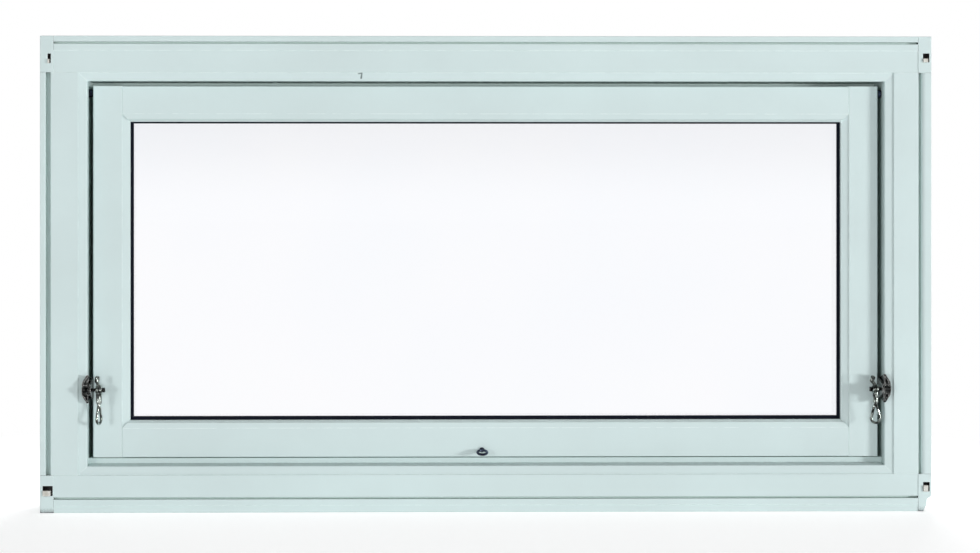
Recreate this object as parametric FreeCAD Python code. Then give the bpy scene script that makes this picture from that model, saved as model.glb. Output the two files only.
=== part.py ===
"""A top hung window: a painted timber frame, a double glazed sash and a snap hook catch at each side.

Millimetres. X runs to the right along the sill, Y runs from the room side to the weather side
and Z is up. The origin is the middle of the sill's underside.

A frame profile is drawn as (inward, deep): inward is measured from the frame's outer edge
towards the opening, deep from the room side's front plane towards the weather side.
A third number on a point is the radius of that corner.
"""

import FreeCAD
import Part
import math
import os
from collections import namedtuple

Vector = FreeCAD.Vector

# Whole frame
FRAME_WIDTH = 890.0
FRAME_HEIGHT = 475.0
FRAME_DEPTH = 84.0

# Faces of the frame members, from the outer edge inwards
JambFace = namedtuple("JambFace", "fin groove fin_round")
JAMB_FACES = {
    "left": JambFace(fin=5.7, groove=4.6, fin_round=1.2),
    "right": JambFace(fin=10.2, groove=2.6, fin_round=4.6),
}
JAMB_FLAT_END = 37.7
JAMB_GROOVE_DEPTH = 7.0
GROOVE_ARRIS = 1.0
RAIL_GROOVE = 2.0
RAIL_GROOVE_DEPTH = 7.0
HEAD_EDGE = 5.9
HEAD_BAND = 6.6
HEAD_FLAT = 22.0
SILL_EDGE = 7.2
SILL_BAND = 6.2
SILL_FLAT = 22.1
FLAT_SETBACK = 0.7
ARRIS = 0.7
JOINT_ARRIS = 0.45

# Corner blocks between the ends of head, sill and jambs, each with a slot for a bent clip.
# A slot's middle is given from the frame's outer side and from its top or bottom edge.
BLOCK_WIDTH = 13.5
SLOT_DEPTH = 9.0
CLIP_THICKNESS = 1.0
CLIP_REACH = 1.8
CLIP_SIDE_GAP = 0.2
CornerSlot = namedtuple("CornerSlot", "level side from_side from_edge width height clip_width clip_lip")
CORNER_SLOTS = (
    CornerSlot(
        "top", "left", from_side=9.2, from_edge=22.6,
        width=3.2, height=9.6, clip_width=1.6, clip_lip=3.0,
    ),
    CornerSlot(
        "top", "right", from_side=5.4, from_edge=21.4,
        width=6.4, height=8.8, clip_width=4.6, clip_lip=2.6,
    ),
    CornerSlot(
        "bottom", "left", from_side=7.6, from_edge=22.0,
        width=10.0, height=10.0, clip_width=7.8, clip_lip=4.2,
    ),
    CornerSlot(
        "bottom", "right", from_side=5.2, from_edge=24.6,
        width=6.6, height=9.4, clip_width=4.6, clip_lip=5.2,
    ),
)

# The lower right corner is broken off: (from the outer side, from the bottom) along the break
CORNER_BREAK = ((0.0, 15.9), (4.7, 12.3), (5.3, 6.4), (7.0, 3.1), (8.2, 0.0))

# Mitred bead round the opening
BEAD_FACE = 8.5
SIDE_BEAD_FACE = 9.0
BEAD_STEP = 2.1
BEAD_SLOPE = 1.2
BEAD_NOSE = 1.2
SILL_BEAD_RISE = 1.8

# Sash in the frame
SASH_SETBACK = 14.0
SASH_THICKNESS = 38.0
SASH_SIDE_GAP = 4.6
SASH_TOP_GAP = 4.5
SILL_UPSTAND = 7.0
UPSTAND_SETBACK = 18.0
SASH_BOTTOM_GAP = 1.0
SASH_ARRIS = 1.2
SASH_FOOT_ARRIS = 0.8
STOP_COVER = 6.0
STOP_CHAMFER = 3.0
SILL_WEATHER_FALL = 4.0
SEAL_THICKNESS = 5.0
SEAL_EDGE_GAP = 2.0
SEAL_COVER = 3.5
SEAL_ROUND = 1.5

# Sash members and glazing
STILE_FACE = 29.0
TOP_RAIL_FACE = 27.7
BOTTOM_RAIL_FACE = 29.0
GLAZING_BEAD_FACE = 8.0
GLAZING_BEAD_DEPTH = 6.5
GLAZING_BEAD_STEP = 1.0
GLAZING_BEAD_SLOPE = 2.0
GLAZING_BEAD_NOSE = 1.2
GLAZING_BEAD_FLAT = 5.2
GASKET_THICKNESS = 2.0
GASKET_COVER = 5.0
GASKET_LIP_SIDE = 3.2
GASKET_LIP_TOP = 1.6
GASKET_LIP_BOTTOM = 3.6
PANE_THICKNESS = 4.0
PANE_EDGE_GAP = 3.0
SPACER_THICKNESS = 8.0
SPACER_WIDTH = 3.4
SPACER_SIGHT_GAP = 1.4
REAR_SIGHT_GAP = 1.5
REAR_BEVEL = 2.0

# Pivots near the front top edge of the sash
PIVOT_DIAMETER = 5.0
PIVOT_INSET = 7.0
PIVOT_REACH = 12.0
PIVOT_COLLAR = 8.0
PIVOT_CLEARANCE = 0.1

# Catches: the pin crosses the side gap in front of the frame
PIN_HEIGHT = 122.8
PIN_FORWARD = 5.0
PIN_DIAMETER = 3.4
PIN_CLEARANCE = 0.1
PIN_HEAD = 4.8
PIN_HEAD_THICKNESS = 2.8
PIN_HEAD_ROUND = 0.7
PIN_HEAD_GAP = 0.4
KEEPER_THICKNESS = 2.0
KEEPER_HEIGHT = 28.0
KEEPER_RISE = 0.6
KEEPER_OUTER_EDGE = 12.5
KEEPER_WING = 6.6
KEEPER_FOLD = 3.0
KEEPER_TAIL = 20.0
KEEPER_BARREL = 6.4
KEEPER_PIN_DEPTH = 4.8
KEEPER_RIM = 1.3
KEEPER_FIELD_DEPTH = 1.0
KEEPER_FIELD_TIP = 1.4
KEEPER_FIELD_SHOULDER = 0.4
BRACKET_THICKNESS = 1.6
BRACKET_HEIGHT = 22.0
BRACKET_START = 3.0
BRACKET_LENGTH = 20.0
BRACKET_CORNER = 2.0
BRACKET_NOSE = 4.4
BRACKET_NOSE_ROUND = 4.0

# Snap hook that hangs on the pin, with a cranked thumb piece above it
HOOK_WIRE = 2.8
HOOK_SPREAD = 1.7
HOOK_CLEARANCE = 0.5
HOOK_BORE_CUT = 0.25
HOOK_WEB = 1.2
HOOK_MOUTH = 0.9
HOOK_MOUTH_ANGLE = 35.0
SHANK_DIAMETER = 5.6
SHANK_LENGTH = 11.5
SHANK_ROUND = 0.6
THUMB_STEM = 3.4
THUMB_STEM_RISE = 4.8
THUMB_STEM_SEAT = 1.4
THUMB_KNOB = 4.6
THUMB_KNOB_LENGTH = 7.0
THUMB_KNOB_SEAT = 1.6
THUMB_KNOB_ROUND = 1.5
TRIGGER_DIAMETER = 1.8
TRIGGER_KNOB = 3.0
TRIGGER_KNOB_LENGTH = 1.6
TRIGGER_STAND = 2.2
TRIGGER_SEAT = 1.6
TRIGGER_DROP = 4.5
TRIGGER_CLEARANCE = 0.1
SWIVEL_DIAMETER = 3.8
SWIVEL_LENGTH = 2.0
EYE_WIRE = 2.6
EYE_WIDTH = 11.5
EYE_LENGTH = 20.5
EYE_TOP_WIDTH = 5.2

# Where each snap hook sits on its pin, inward of the sash's edge, how far the stem and the knob
# of its thumb piece lean to the left seen from the room, and the turn of its pull eye
CatchSide = namedtuple("CatchSide", "name sign snap_station stem_lean knob_lean eye_turn")
CATCHES = (
    CatchSide("left", -1, snap_station=7.7, stem_lean=22.0, knob_lean=-6.0, eye_turn=64.0),
    CatchSide("right", 1, snap_station=5.9, stem_lean=40.0, knob_lean=-23.0, eye_turn=0.0),
)

# Screw eye in the bottom rail
SCREW_EYE_OUTER = 12.0
SCREW_EYE_WIRE = 2.6
SCREW_EYE_DROOP = 22.0
SCREW_EYE_ROSE = 5.0
SCREW_EYE_ROSE_THICKNESS = 1.6
SCREW_EYE_NECK = 2.0
SCREW_EYE_HEIGHT_ON_RAIL = 7.0
SCREW_EYE_SIDE_SHIFT = -4.5

# Sizes that follow
HALF_WIDTH = FRAME_WIDTH / 2
FRONT = -FRAME_DEPTH / 2
HEAD_FLAT_END = HEAD_EDGE + RAIL_GROOVE + HEAD_BAND + HEAD_FLAT
SILL_FLAT_END = SILL_EDGE + SILL_BAND + RAIL_GROOVE + SILL_FLAT
SASH_BACK = SASH_SETBACK + SASH_THICKNESS
STOP_FRONT = SASH_BACK + SEAL_THICKNESS
GASKET_FRONT = SASH_SETBACK + GLAZING_BEAD_DEPTH
INNER_PANE_FRONT = GASKET_FRONT + GASKET_THICKNESS
SPACER_FRONT = INNER_PANE_FRONT + PANE_THICKNESS
OUTER_PANE_FRONT = SPACER_FRONT + SPACER_THICKNESS
REAR_GASKET_FRONT = OUTER_PANE_FRONT + PANE_THICKNESS
GLAZING_LEG_FRONT = REAR_GASKET_FRONT + GASKET_THICKNESS
PIN_Y = FRONT - PIN_FORWARD
PIN_RADIUS = PIN_DIAMETER / 2
THROUGH = 10 * FRAME_DEPTH


class Rect(namedtuple("Rect", "left right bottom top")):
    """An upright rectangle seen from the room side."""

    def inset(self, side, bottom=None, top=None):
        """The rectangle with its sides moved inwards, or outwards where a number is negative."""
        bottom = side if bottom is None else bottom
        top = bottom if top is None else top
        return Rect(self.left + side, self.right - side, self.bottom + bottom, self.top - top)


OUTER = Rect(-HALF_WIDTH, HALF_WIDTH, 0.0, FRAME_HEIGHT)
FLATS = OUTER.inset(JAMB_FLAT_END, SILL_FLAT_END, HEAD_FLAT_END)
OPENING = FLATS.inset(SIDE_BEAD_FACE, BEAD_FACE, BEAD_FACE)
SASH = OPENING.inset(SASH_SIDE_GAP, SILL_UPSTAND + SASH_BOTTOM_GAP, SASH_TOP_GAP)
STOPS = SASH.inset(STOP_COVER)
SEALS = SASH.inset(SEAL_COVER)
SEAL_OUTER = OPENING.inset(SEAL_EDGE_GAP, SILL_UPSTAND, SASH_TOP_GAP)
REBATE = SASH.inset(STILE_FACE, BOTTOM_RAIL_FACE, TOP_RAIL_FACE)
SIGHT = REBATE.inset(GLAZING_BEAD_FACE)
LIPS = SIGHT.inset(GASKET_LIP_SIDE, GASKET_LIP_BOTTOM, GASKET_LIP_TOP)
PANE = REBATE.inset(PANE_EDGE_GAP)
JAMB_FACE = JAMB_FLAT_END + SIDE_BEAD_FACE


def rounded_wire(corners):
    """A closed wire through (point, radius) corners, with an arc at each radius above zero."""
    edges = []
    spans = []
    count = len(corners)
    for index, (point, radius) in enumerate(corners):
        before = (corners[index - 1][0] - point).normalize()
        after = (corners[(index + 1) % count][0] - point).normalize()
        if radius <= 0:
            spans.append((point, None, point))
            continue
        half = before.getAngle(after) / 2
        reach = radius / math.tan(half)
        middle = point + (before + after).normalize() * (radius / math.sin(half) - radius)
        spans.append((point + before * reach, middle, point + after * reach))
    for index, (start, middle, end) in enumerate(spans):
        if middle is not None:
            edges.append(Part.Arc(start, middle, end).toShape())
        following = spans[(index + 1) % count][0]
        if (following - end).Length > 1e-6:
            edges.append(Part.LineSegment(end, following).toShape())
    return Part.Wire(edges)


def prism(corners, along):
    """The solid that a closed outline of (point, radius) corners sweeps along a vector."""
    return Part.Face(rounded_wire(corners)).extrude(along)


def cylinder(start, along, diameter):
    """A round bar from a point along a vector."""
    return Part.makeCylinder(diameter / 2, along.Length, start, along)


def space_point(side, edges, inward, deep, along):
    """The point of a profile on one side of a rectangle, at a distance along that side."""
    y = FRONT + deep
    if side == "left":
        return Vector(edges.left + inward, y, along)
    if side == "right":
        return Vector(edges.right - inward, y, along)
    if side == "top":
        return Vector(along, y, edges.top - inward)
    return Vector(along, y, edges.bottom + inward)


def member(side, edges, profile, start, end):
    """A straight bar with a profile given from one side of a rectangle inwards."""
    corners = []
    for inward, deep, *radius in profile:
        corners.append((space_point(side, edges, inward, deep, start), radius[0] if radius else 0))
    upright = side in ("left", "right")
    along = Vector(0, 0, end - start) if upright else Vector(end - start, 0, 0)
    return prism(corners, along)


def corner_line(outer, inner, right, upper):
    """Outer and inner end of a mitre, stretched past both so that a cut there is clean."""
    across = (outer.right, inner.right) if right else (outer.left, inner.left)
    upright = (outer.top, inner.top) if upper else (outer.bottom, inner.bottom)
    far = Vector(across[0], 0, upright[0])
    near = Vector(across[1], 0, upright[1])
    return far + (far - near), near - (far - near)


def mitred(side, outer, inner, profile):
    """A bar between two rectangles with its ends cut on the lines that join their corners."""
    ends = {
        "left": ((False, False), (False, True)),
        "right": ((True, False), (True, True)),
        "top": ((False, True), (True, True)),
        "bottom": ((False, False), (True, False)),
    }[side]
    first_far, first_near = corner_line(outer, inner, *ends[0])
    last_far, last_near = corner_line(outer, inner, *ends[1])
    if side in ("left", "right"):
        start, end = outer.bottom, outer.top
    else:
        start, end = outer.left, outer.right
    bar = member(side, outer, profile, start, end)
    lift = Vector(0, -THROUGH / 2, 0)
    corners = [(point + lift, 0) for point in (first_far, last_far, last_near, first_near)]
    return bar.common(prism(corners, Vector(0, THROUGH, 0)))


def band_width(side, outer, inner):
    """The distance between one side of two rectangles."""
    return {
        "left": inner.left - outer.left,
        "right": outer.right - inner.right,
        "top": outer.top - inner.top,
        "bottom": inner.bottom - outer.bottom,
    }[side]


def band_between(side, outer, inner, front, back):
    """A mitred flat strip that fills the space between two rectangles."""
    width = band_width(side, outer, inner)
    return mitred(side, outer, inner, [(0, front), (width, front), (width, back), (0, back)])


def plate(rect, front, back):
    """A flat plate that fills a rectangle between two depths."""
    corner = Vector(rect.left, FRONT + front, rect.bottom)
    return Part.makeBox(rect.right - rect.left, back - front, rect.top - rect.bottom, corner)


SIDES = ("left", "right", "top", "bottom")


def pivot_bore(sign, extra):
    """The round bar along a pivot's axis, wider than the pivot pin by a clearance."""
    edge = SASH.right
    height = SASH.top - PIVOT_INSET
    start = Vector(sign * (edge - PIVOT_REACH - extra), FRONT + SASH_SETBACK + PIVOT_INSET, height)
    length = 2 * (PIVOT_REACH + extra) + SASH_SIDE_GAP
    return cylinder(start, Vector(sign * length, 0, 0), PIVOT_DIAMETER + 2 * extra)


def make_jamb(side):
    """A jamb between the corner blocks: fin, groove, flat, bead seat, rebate and stop."""
    stop = STOPS.left - OUTER.left
    fin, groove, fin_round = JAMB_FACES[side]
    profile = [
        (0, 0, ARRIS),
        (fin, 0, fin_round),
        (fin, JAMB_GROOVE_DEPTH),
        (fin + groove, JAMB_GROOVE_DEPTH),
        (fin + groove, FLAT_SETBACK, GROOVE_ARRIS),
        (JAMB_FLAT_END, FLAT_SETBACK, JOINT_ARRIS),
        (JAMB_FLAT_END, SASH_SETBACK),
        (JAMB_FACE, SASH_SETBACK),
        (JAMB_FACE, STOP_FRONT),
        (stop, STOP_FRONT),
        (stop, FRAME_DEPTH - STOP_CHAMFER),
        (stop - STOP_CHAMFER, FRAME_DEPTH),
        (0, FRAME_DEPTH, ARRIS),
    ]
    bar = member(side, OUTER, profile, FLATS.bottom, FLATS.top)
    return bar.cut(pivot_bore(-1 if side == "left" else 1, PIVOT_CLEARANCE))


def make_head(jambs):
    """The head between the top corner blocks, scribed over the jambs."""
    face = OUTER.top - OPENING.top
    stop = OUTER.top - STOPS.top
    groove_end = HEAD_EDGE + RAIL_GROOVE
    band_end = groove_end + HEAD_BAND
    profile = [
        (0, 0, ARRIS),
        (HEAD_EDGE, 0, JOINT_ARRIS),
        (HEAD_EDGE, RAIL_GROOVE_DEPTH),
        (groove_end, RAIL_GROOVE_DEPTH),
        (groove_end, 0, JOINT_ARRIS),
        (band_end, 0, FLAT_SETBACK / 2),
        (band_end, FLAT_SETBACK),
        (HEAD_FLAT_END, FLAT_SETBACK, JOINT_ARRIS),
        (HEAD_FLAT_END, SASH_SETBACK),
        (face, SASH_SETBACK),
        (face, STOP_FRONT),
        (stop, STOP_FRONT),
        (stop, FRAME_DEPTH - STOP_CHAMFER),
        (stop - STOP_CHAMFER, FRAME_DEPTH),
        (0, FRAME_DEPTH, ARRIS),
    ]
    bar = member("top", OUTER, profile, OUTER.left + BLOCK_WIDTH, OUTER.right - BLOCK_WIDTH)
    return bar.cut(jambs)


def make_sill(jambs):
    """The sill between the bottom corner blocks, with an upstand and a weathered stop."""
    upstand = OPENING.bottom + SILL_UPSTAND
    ledge = OPENING.bottom + SILL_BEAD_RISE
    groove_start = SILL_EDGE + SILL_BAND
    groove_end = groove_start + RAIL_GROOVE
    profile = [
        (0, FLAT_SETBACK, ARRIS),
        (SILL_EDGE, FLAT_SETBACK),
        (SILL_EDGE, 0, FLAT_SETBACK / 2),
        (groove_start, 0, JOINT_ARRIS),
        (groove_start, RAIL_GROOVE_DEPTH),
        (groove_end, RAIL_GROOVE_DEPTH),
        (groove_end, FLAT_SETBACK, JOINT_ARRIS),
        (SILL_FLAT_END, FLAT_SETBACK, JOINT_ARRIS),
        (SILL_FLAT_END, SASH_SETBACK),
        (ledge, SASH_SETBACK),
        (ledge, UPSTAND_SETBACK),
        (upstand, UPSTAND_SETBACK, ARRIS),
        (upstand, STOP_FRONT),
        (STOPS.bottom, STOP_FRONT),
        (STOPS.bottom - SILL_WEATHER_FALL, FRAME_DEPTH),
        (0, FRAME_DEPTH, ARRIS),
    ]
    bar = member("bottom", OUTER, profile, OUTER.left + BLOCK_WIDTH, OUTER.right - BLOCK_WIDTH)
    return bar.cut(jambs)


def slot_centre(slot):
    """The middle of a slot in a corner block's face."""
    x = OUTER.right - slot.from_side if slot.side == "right" else OUTER.left + slot.from_side
    height = OUTER.top - slot.from_edge if slot.level == "top" else OUTER.bottom + slot.from_edge
    return Vector(x, FRONT, height)


def corner_break():
    """The piece that is missing at the frame's lower right corner."""
    beyond = BLOCK_WIDTH
    top = CORNER_BREAK[0][1]
    inner = CORNER_BREAK[-1][0]
    outline = [(-beyond, top), *CORNER_BREAK, (inner, -beyond), (-beyond, -beyond)]
    corners = [(Vector(OUTER.right - x, FRONT - beyond, OUTER.bottom + z), 0) for x, z in outline]
    return prism(corners, Vector(0, FRAME_DEPTH + 2 * beyond, 0))


def make_corner_block(slot):
    """A block that closes a corner of the frame, with a slot in its face."""
    left_edge = OUTER.right - BLOCK_WIDTH if slot.side == "right" else OUTER.left
    low, high = (FLATS.top, OUTER.top) if slot.level == "top" else (OUTER.bottom, FLATS.bottom)
    block = Part.makeBox(BLOCK_WIDTH, FRAME_DEPTH, high - low, Vector(left_edge, FRONT, low))
    face_edges = [edge for edge in block.Edges if edge.BoundBox.YMax < FRONT + ARRIS]
    block = block.makeFillet(ARRIS, face_edges)
    corner = slot_centre(slot) - Vector(slot.width / 2, SLOT_DEPTH, slot.height / 2)
    block = block.cut(Part.makeBox(slot.width, 2 * SLOT_DEPTH, slot.height, corner))
    if (slot.level, slot.side) == ("bottom", "right"):
        block = block.cut(corner_break())
    return block


def make_corner_clip(slot):
    """A strip of steel bent down over the front of a corner block, with its tail in the slot."""
    centre = slot_centre(slot)
    bottom = centre.z - slot.height / 2
    tail_top = bottom + slot.clip_lip + CLIP_THICKNESS
    outline = [
        (FRONT + SLOT_DEPTH, bottom),
        (FRONT + SLOT_DEPTH, tail_top),
        (FRONT - CLIP_REACH, tail_top),
        (FRONT - CLIP_REACH, bottom),
        (FRONT - CLIP_REACH + CLIP_THICKNESS, bottom),
        (FRONT - CLIP_REACH + CLIP_THICKNESS, tail_top - CLIP_THICKNESS),
        (FRONT + SLOT_DEPTH - CLIP_THICKNESS, tail_top - CLIP_THICKNESS),
        (FRONT + SLOT_DEPTH - CLIP_THICKNESS, bottom),
    ]
    x = centre.x - slot.width / 2 + CLIP_SIDE_GAP
    return prism([(Vector(x, y, z), 0) for y, z in outline], Vector(slot.clip_width, 0, 0))


def make_bead(side):
    """One side of the mitred bead round the opening, with a rounded nose."""
    rise = SILL_BEAD_RISE if side == "bottom" else 0.0
    width = band_width(side, FLATS, OPENING)
    profile = [
        (0, BEAD_STEP),
        (width, BEAD_STEP + BEAD_SLOPE, BEAD_NOSE),
        (width + rise, SASH_SETBACK),
        (0, SASH_SETBACK),
    ]
    return mitred(side, FLATS, OPENING, profile)


def make_seal(side):
    """One side of the seal between the back of the sash and the frame's stop."""
    width = band_width(side, SEAL_OUTER, SEALS)
    profile = [
        (0, SASH_BACK, SEAL_ROUND),
        (width, SASH_BACK, SEAL_ROUND),
        (width, STOP_FRONT),
        (0, STOP_FRONT),
    ]
    return mitred(side, SEAL_OUTER, SEALS, profile)


def sash_profile(face, outer_arris, joint_arris):
    """Section of a sash member: a body as wide as its face and a bevelled leg behind the glass."""
    leg = face + GLAZING_BEAD_FACE - REAR_SIGHT_GAP
    return [
        (0, SASH_SETBACK, outer_arris),
        (face, SASH_SETBACK, joint_arris),
        (face, GLAZING_LEG_FRONT),
        (leg, GLAZING_LEG_FRONT),
        (leg - REAR_BEVEL, SASH_BACK, ARRIS),
        (0, SASH_BACK, SASH_ARRIS),
    ]


def make_stile(side):
    """A sash stile over the full height of the sash."""
    profile = sash_profile(STILE_FACE, SASH_ARRIS, JOINT_ARRIS)
    bar = member(side, SASH, profile, SASH.bottom, SASH.top)
    return bar.cut(pivot_bore(-1 if side == "left" else 1, PIVOT_CLEARANCE))


def joint_vee(sign):
    """The wedge that breaks the front edge of a rail's end where it meets a stile."""
    end = sign * REBATE.right
    front = FRONT + SASH_SETBACK
    corners = [
        (Vector(end - sign * JOINT_ARRIS, front, SASH.bottom), 0),
        (Vector(end + sign * JOINT_ARRIS, front, SASH.bottom), 0),
        (Vector(end + sign * JOINT_ARRIS, front + JOINT_ARRIS, SASH.bottom), 0),
        (Vector(end, front + JOINT_ARRIS, SASH.bottom), 0),
    ]
    return prism(corners, Vector(0, 0, SASH.top - SASH.bottom))


def make_rail(side, stiles):
    """A sash rail between the stiles, shouldered round the legs behind the glass."""
    if side == "bottom":
        profile = sash_profile(BOTTOM_RAIL_FACE, SASH_FOOT_ARRIS, 0)
    else:
        profile = sash_profile(TOP_RAIL_FACE, SASH_ARRIS, 0)
    bar = member(side, SASH, profile, REBATE.left, REBATE.right)
    return bar.cut(stiles + [joint_vee(-1), joint_vee(1)])


def make_glazing_bead(side):
    """One side of the mitred bead that holds the glass: stepped at a stile, flush with a rail."""
    if side in ("left", "right"):
        face = [(0, SASH_SETBACK + GLAZING_BEAD_STEP)]
    else:
        face = [(0, SASH_SETBACK), (GLAZING_BEAD_FLAT, SASH_SETBACK)]
    nose = SASH_SETBACK + GLAZING_BEAD_STEP + GLAZING_BEAD_SLOPE
    profile = [
        *face,
        (GLAZING_BEAD_FACE, nose, GLAZING_BEAD_NOSE),
        (GLAZING_BEAD_FACE, GASKET_FRONT),
        (0, GASKET_FRONT),
    ]
    return mitred(side, REBATE, SIGHT, profile)


def make_pivot(sign):
    """A pivot pin between jamb and stile with a collar in the gap."""
    pin = pivot_bore(sign, 0.0)
    collar_length = SASH_SIDE_GAP - 2 * PIVOT_CLEARANCE
    height = SASH.top - PIVOT_INSET
    start = Vector(sign * (SASH.right + PIVOT_CLEARANCE), FRONT + SASH_SETBACK + PIVOT_INSET, height)
    return pin.fuse(cylinder(start, Vector(sign * collar_length, 0, 0), PIVOT_COLLAR)).removeSplitter()


def keeper_field(sign, upward):
    """The outline of the sunk field in the upper or lower half of a keeper's wing, a rim inside it."""
    base = OPENING.right - KEEPER_THICKNESS
    inner = sign * (base + KEEPER_RIM)
    outer = sign * (base + KEEPER_WING - KEEPER_RIM)
    near = KEEPER_BARREL / 2 + KEEPER_RIM
    tip = KEEPER_HEIGHT / 2 + upward * KEEPER_RISE - KEEPER_FIELD_TIP
    shoulder = KEEPER_OUTER_EDGE / 2 + upward * KEEPER_RISE - KEEPER_FIELD_SHOULDER
    corners = [(inner, near), (outer, near), (outer, shoulder), (inner, tip)]
    front = PIN_Y - 2 * KEEPER_THICKNESS
    return [(Vector(x, front, PIN_HEIGHT + upward * rise), 0) for x, rise in corners]


def make_keeper(sign):
    """A folded steel keeper: a tail in the gap, a pointed wing over the bead and a barrel for the pin."""
    face = sign * OPENING.right
    base = face - sign * KEEPER_THICKNESS
    outer = face + sign * (KEEPER_WING - KEEPER_THICKNESS)
    middle = PIN_HEIGHT + KEEPER_RISE
    low, high = middle - KEEPER_HEIGHT / 2, middle + KEEPER_HEIGHT / 2
    edge_low, edge_high = middle - KEEPER_OUTER_EDGE / 2, middle + KEEPER_OUTER_EDGE / 2
    ridge = PIN_Y - KEEPER_THICKNESS / 2
    ends = ridge + KEEPER_FOLD
    tail_back = FRONT + SASH_SETBACK + KEEPER_TAIL
    across = Vector(sign * KEEPER_WING, 0, 0)
    fold = [
        (ends, low),
        (ridge, PIN_HEIGHT),
        (ends, high),
        (ends + KEEPER_THICKNESS, high),
        (ridge + KEEPER_THICKNESS, PIN_HEIGHT),
        (ends + KEEPER_THICKNESS, low),
    ]
    folded_strip = prism([(Vector(base, y, z), 0) for y, z in fold], across)
    wing_outline = [
        (base, low),
        (face, low),
        (outer, edge_low),
        (outer, edge_high),
        (face, high),
        (base, high),
    ]
    depth = Vector(0, tail_back - ridge, 0)
    wing = folded_strip.common(prism([(Vector(x, ridge, z), 0) for x, z in wing_outline], depth))
    tail = prism(
        [
            (Vector(base, ridge, PIN_HEIGHT), 0),
            (Vector(base, ends, low), 0),
            (Vector(base, tail_back, edge_low), KEEPER_THICKNESS),
            (Vector(base, tail_back, edge_high), KEEPER_THICKNESS),
            (Vector(base, ends, high), 0),
        ],
        Vector(sign * KEEPER_THICKNESS, 0, 0),
    )
    barrel = cylinder(Vector(base, PIN_Y, PIN_HEIGHT), across, KEEPER_BARREL)
    keeper = wing.fuse([tail, barrel]).removeSplitter()
    sunk = folded_strip.translated(Vector(0, KEEPER_FIELD_DEPTH - KEEPER_THICKNESS, 0))
    for upward in (1, -1):
        keeper = keeper.cut(sunk.common(prism(keeper_field(sign, upward), depth)))
    bore = PIN_DIAMETER + 2 * PIN_CLEARANCE
    start = Vector(base - sign * KEEPER_WING, PIN_Y, PIN_HEIGHT)
    bore_length = KEEPER_WING + KEEPER_PIN_DEPTH + PIN_CLEARANCE
    return keeper.cut(cylinder(start, Vector(sign * bore_length, 0, 0), bore))


def make_bracket(sign):
    """A plate on the stile's edge, in the gap, whose nose comes forward and holds the pin."""
    edge = sign * SASH.right
    start = FRONT + SASH_SETBACK + BRACKET_START
    low = PIN_HEIGHT - BRACKET_HEIGHT / 2
    high = PIN_HEIGHT + BRACKET_HEIGHT / 2
    outline = [
        (Vector(edge, PIN_Y - BRACKET_NOSE, PIN_HEIGHT - BRACKET_NOSE), BRACKET_NOSE_ROUND),
        (Vector(edge, PIN_Y - BRACKET_NOSE, PIN_HEIGHT + BRACKET_NOSE), BRACKET_NOSE_ROUND),
        (Vector(edge, start, high), 0),
        (Vector(edge, start + BRACKET_LENGTH, high), BRACKET_CORNER),
        (Vector(edge, start + BRACKET_LENGTH, low), BRACKET_CORNER),
        (Vector(edge, start, low), 0),
    ]
    thickness = Vector(sign * BRACKET_THICKNESS, 0, 0)
    bore = cylinder(Vector(edge, PIN_Y, PIN_HEIGHT), thickness, PIN_DIAMETER + 2 * PIN_CLEARANCE)
    return prism(outline, thickness).cut(bore)


def make_pin(catch):
    """The pin through bracket and keeper, with a round head beyond the snap hook."""
    head_station = catch.snap_station + HOOK_SPREAD + HOOK_WIRE / 2 + PIN_HEAD_GAP
    inner = catch.sign * (SASH.right - head_station)
    outer = catch.sign * (OPENING.right - KEEPER_THICKNESS + KEEPER_PIN_DEPTH)
    bar = cylinder(Vector(inner, PIN_Y, PIN_HEIGHT), Vector(outer - inner, 0, 0), PIN_DIAMETER)
    head = cylinder(
        Vector(inner, PIN_Y, PIN_HEIGHT), Vector(-catch.sign * PIN_HEAD_THICKNESS, 0, 0), PIN_HEAD
    )
    rims = [edge for edge in head.Edges if len(edge.Vertexes) == 1]
    return bar.fuse(head.makeFillet(PIN_HEAD_ROUND, rims)).removeSplitter()


def snap_axis(catch):
    """The point of the pin's axis that a snap hook hangs from."""
    return Vector(catch.sign * (SASH.right - catch.snap_station), PIN_Y, PIN_HEIGHT)


def trigger_height(catch):
    """The height of a trigger's axis on the shank."""
    return snap_axis(catch).z - PIN_RADIUS - HOOK_CLEARANCE - TRIGGER_DROP


def leaning_left(degrees):
    """The upward direction that leans to the left by an angle, seen from the room."""
    lean = math.radians(degrees)
    return Vector(-math.sin(lean), 0, math.cos(lean))


def make_thumb_piece(catch):
    """The cranked piece above a snap hook: a stem that leans away and a rounded knob on it."""
    root = snap_axis(catch) + Vector(0, 0, PIN_RADIUS + HOOK_CLEARANCE + HOOK_WIRE / 2)
    stem_run = leaning_left(catch.stem_lean)
    stem_start = root - stem_run * THUMB_STEM_SEAT
    elbow = root + stem_run * (THUMB_STEM_RISE / stem_run.z)
    stem = cylinder(stem_start, elbow - stem_start, THUMB_STEM)
    knob_run = leaning_left(catch.knob_lean)
    knob = cylinder(elbow - knob_run * THUMB_KNOB_SEAT, knob_run * THUMB_KNOB_LENGTH, THUMB_KNOB)
    rims = [edge for edge in knob.Edges if len(edge.Vertexes) == 1]
    return stem.fuse(knob.makeFillet(THUMB_KNOB_ROUND, rims))


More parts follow.
